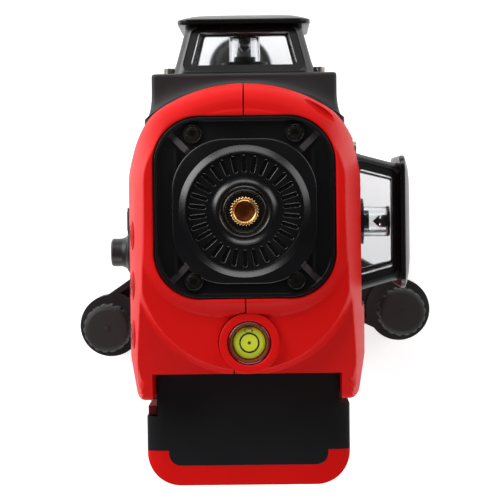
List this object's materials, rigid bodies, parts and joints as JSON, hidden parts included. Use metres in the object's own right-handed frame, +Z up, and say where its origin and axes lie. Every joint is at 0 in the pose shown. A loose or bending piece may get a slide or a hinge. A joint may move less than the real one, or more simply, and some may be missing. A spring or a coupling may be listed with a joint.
{
  "type": "rotating laser level",
  "caption": "Self-levelling line laser with three window cages on a rotating levelling base with screw feet, top thread, vial and slide-off battery.",
  "frame": {"origin": "mouth of the base's tripod thread, on the base's turning axis, at the underside of the base's hub", "axes": "+Z up along the turning axis, +Y towards the front cage, +X towards the side cage"},
  "size_m": [0.1492, 0.1695, 0.19],
  "materials": {
    "red_plastic": "satin",
    "black_plastic": "satin",
    "black_textured": "matte",
    "battery_black": "matte",
    "base_black": "satin",
    "knob_rubber": "matte",
    "foot_rubber": "matte",
    "brass": "satin",
    "steel": "satin",
    "screw_steel": "satin",
    "clear_glass": "gloss",
    "clear_acrylic": "gloss",
    "vial_green": "gloss",
    "die_cast": "satin",
    "black_anodised": "satin",
    "cone_mirror": "polished",
    "copper": "satin",
    "key_red": "satin",
    "latch_red": "satin",
    "board_green": "satin",
    "cell_blue": "satin"
  },
  "bodies": {
    "base": {"base_frame": "base_black", "tripod_insert": "brass", "foot_bushes": "brass"},
    "foot_left": {"foot_pad_left": "foot_rubber"},
    "foot_right": {"foot_pad_right": "foot_rubber"},
    "foot_front": {"foot_pad_front": "foot_rubber"},
    "screw_left": {"foot_knob_left": "knob_rubber", "foot_stud_left": "steel"},
    "screw_right": {"foot_knob_right": "knob_rubber", "foot_stud_right": "steel"},
    "screw_front": {"foot_knob_front": "knob_rubber", "foot_stud_front": "steel"},
    "level": {"turntable": "base_black", "turntable_bolt": "steel", "mount_stud": "steel", "left_shell": "red_plastic", "right_shell": "red_plastic", "top_plate": "black_textured", "top_insert": "brass", "top_plate_screws": "screw_steel", "front_collar": "black_plastic", "side_collar": "black_plastic", "bottom_collar": "black_plastic", "front_cage": "black_textured", "side_cage": "black_textured", "bottom_cage": "black_textured", "front_cap": "black_textured", "side_cap": "black_textured", "bottom_cap": "black_textured", "front_glass": "clear_glass", "side_glass": "clear_glass", "bottom_glass": "clear_glass", "cage_screws": "screw_steel", "shell_screws": "screw_steel", "vial_cup": "clear_acrylic", "vial_liquid": "vial_green", "gimbal_bracket": "steel", "damping_magnets": "steel", "main_board": "board_green", "charge_socket": "steel"},
    "gimbal": {"gimbal_ring": "brass", "gimbal_pins": "steel"},
    "pendulum": {"pendulum_frame": "die_cast", "front_module": "black_anodised", "side_module": "black_anodised", "bottom_module": "black_anodised", "module_tubes": "clear_glass", "cone_mirrors": "cone_mirror", "damping_plate": "copper"},
    "lock_knob": {"lock_knob": "black_plastic"},
    "lock_slider": {"lock_slider": "black_plastic"},
    "key_mode": {"key_mode": "key_red"},
    "key_pulse": {"key_pulse": "key_red"},
    "key_level": {"key_level": "key_red"},
    "port_cover": {"port_cover": "foot_rubber"},
    "battery": {"battery_case": "battery_black", "battery_cover": "red_plastic", "battery_cells": "cell_blue", "battery_terminals": "brass"},
    "battery_latch": {"battery_latch": "latch_red"}
  },
  "joints": [
    {"name": "base_turn", "type": "hinge", "parent": "base", "child": "level", "pos_m": [0, 0, 0.026], "axis": [0, 0, 1], "continuous": true},
    {"name": "foot_left_lift", "type": "slide", "parent": "base", "child": "foot_left", "axis": [0, 0, 1], "range_m": [-0.004, 0.004]},
    {"name": "foot_left_turn", "type": "hinge", "parent": "foot_left", "child": "screw_left", "pos_m": [-0.05981, -0.03825, 0], "axis": [0, 0, 1], "range_deg": [-1440, 1440]},
    {"name": "foot_right_lift", "type": "slide", "parent": "base", "child": "foot_right", "axis": [0, 0, 1], "range_m": [-0.004, 0.004]},
    {"name": "foot_right_turn", "type": "hinge", "parent": "foot_right", "child": "screw_right", "pos_m": [0.06303, -0.03267, 0], "axis": [0, 0, 1], "range_deg": [-1440, 1440]},
    {"name": "foot_front_lift", "type": "slide", "parent": "base", "child": "foot_front", "axis": [0, 0, 1], "range_m": [-0.004, 0.004]},
    {"name": "foot_front_turn", "type": "hinge", "parent": "foot_front", "child": "screw_front", "pos_m": [-0.00322, 0.07093, 0], "axis": [0, 0, 1], "range_deg": [-1440, 1440]},
    {"name": "gimbal_roll", "type": "hinge", "parent": "level", "child": "gimbal", "pos_m": [0, 0.0028, 0.154], "axis": [1, 0, 0], "range_deg": [-3, 3]},
    {"name": "gimbal_pitch", "type": "hinge", "parent": "gimbal", "child": "pendulum", "pos_m": [0, 0.0028, 0.154], "axis": [0, 1, 0], "range_deg": [-3, 3]},
    {"name": "lock_turn", "type": "hinge", "parent": "level", "child": "lock_knob", "pos_m": [-0.042, -0.004, 0.112], "axis": [1, 0, 0], "range_deg": [0, 90]},
    {"name": "lock_lift", "type": "slide", "parent": "level", "child": "lock_slider", "axis": [0, 0, 1], "range_m": [0, 0.0024]},
    {"name": "key_mode_press", "type": "slide", "parent": "level", "child": "key_mode", "axis": [0.9831, 0, -0.1829], "range_m": [0, 0.001], "stiffness_N_per_m": 800, "springref_m": -0.0005},
    {"name": "key_pulse_press", "type": "slide", "parent": "level", "child": "key_pulse", "axis": [0.9831, 0, -0.1829], "range_m": [0, 0.001], "stiffness_N_per_m": 800, "springref_m": -0.0005},
    {"name": "key_level_press", "type": "slide", "parent": "level", "child": "key_level", "axis": [0.9831, 0, -0.1829], "range_m": [0, 0.001], "stiffness_N_per_m": 800, "springref_m": -0.0005},
    {"name": "port_cover_open", "type": "hinge", "parent": "level", "child": "port_cover", "pos_m": [-0.0424, 0.0076, 0.126], "axis": [0, 1, 0], "range_deg": [0, 100]},
    {"name": "battery_slide", "type": "slide", "parent": "level", "child": "battery", "axis": [0, -1, 0], "range_m": [0, 0.04]},
    {"name": "latch_press", "type": "slide", "parent": "battery", "child": "battery_latch", "axis": [1, 0, 0], "range_m": [0, 0.0014], "stiffness_N_per_m": 1000, "springref_m": -0.0005}
  ],
  "couplings": [
    {"joint": "foot_left_turn", "follows": "foot_left_lift", "rad_per_m": 6283.2},
    {"joint": "foot_right_turn", "follows": "foot_right_lift", "rad_per_m": 6283.2},
    {"joint": "foot_front_turn", "follows": "foot_front_lift", "rad_per_m": 6283.2},
    {"joint": "lock_turn", "follows": "lock_lift", "rad_per_m": 654.5}
  ]
}
